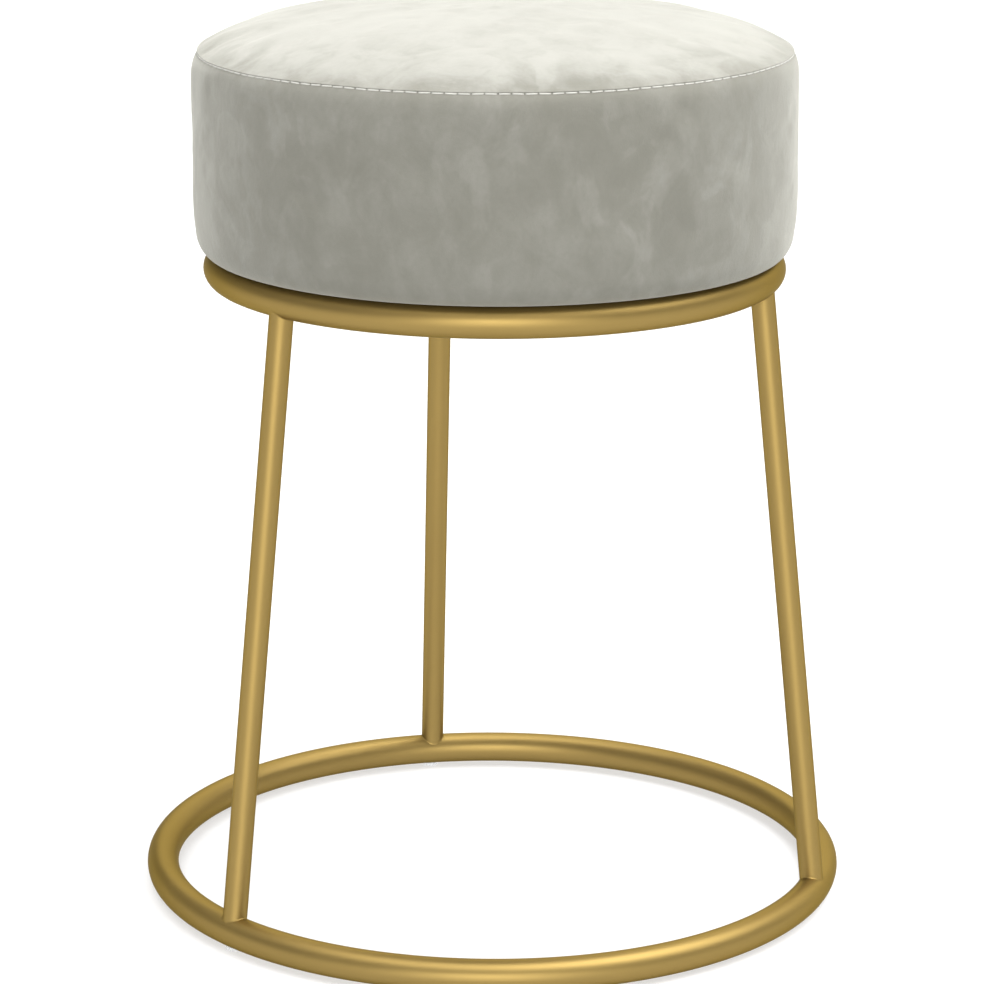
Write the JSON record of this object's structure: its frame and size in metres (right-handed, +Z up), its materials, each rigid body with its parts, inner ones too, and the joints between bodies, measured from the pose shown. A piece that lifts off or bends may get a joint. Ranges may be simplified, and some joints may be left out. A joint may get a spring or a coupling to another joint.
{
  "type": "vanity stool",
  "caption": "Round vanity stool: crowned velvet seat with a stitched edge, bolted to a satin gold tube frame with a ring under the seat, raked legs and a wider floor ring.",
  "frame": {"origin": "on the floor, under the middle of the seat", "axes": "+Z up along the axis of the seat and rings; -Y is the front, midway between two legs, and the third leg stands at +Y"},
  "size_m": [0.358, 0.358, 0.4536],
  "materials": {
    "satin_gold": "satin",
    "velvet": "matte",
    "clear_pad": "gloss",
    "zinc_steel": "satin",
    "plywood": "matte",
    "foam": "matte",
    "dust_cloth": "matte"
  },
  "bodies": {
    "root": {"base_ring": "satin_gold", "top_ring": "satin_gold", "leg_back": "satin_gold", "leg_front_left": "satin_gold", "leg_front_right": "satin_gold", "mount_tab_front": "satin_gold", "mount_tab_back_left": "satin_gold", "mount_tab_back_right": "satin_gold", "foot_pad_back": "clear_pad", "foot_pad_front_left": "clear_pad", "foot_pad_front_right": "clear_pad", "seat_bolt_front": "zinc_steel", "seat_bolt_back_left": "zinc_steel", "seat_bolt_back_right": "zinc_steel", "seat_washer_front": "zinc_steel", "seat_washer_back_left": "zinc_steel", "seat_washer_back_right": "zinc_steel", "tee_nut_front": "zinc_steel", "tee_nut_back_left": "zinc_steel", "tee_nut_back_right": "zinc_steel", "dust_cover": "dust_cloth", "seat_board": "plywood", "seat_foam": "foam", "cover_side_band": "velvet", "cover_top_panel": "velvet"}
  },
  "joints": []
}
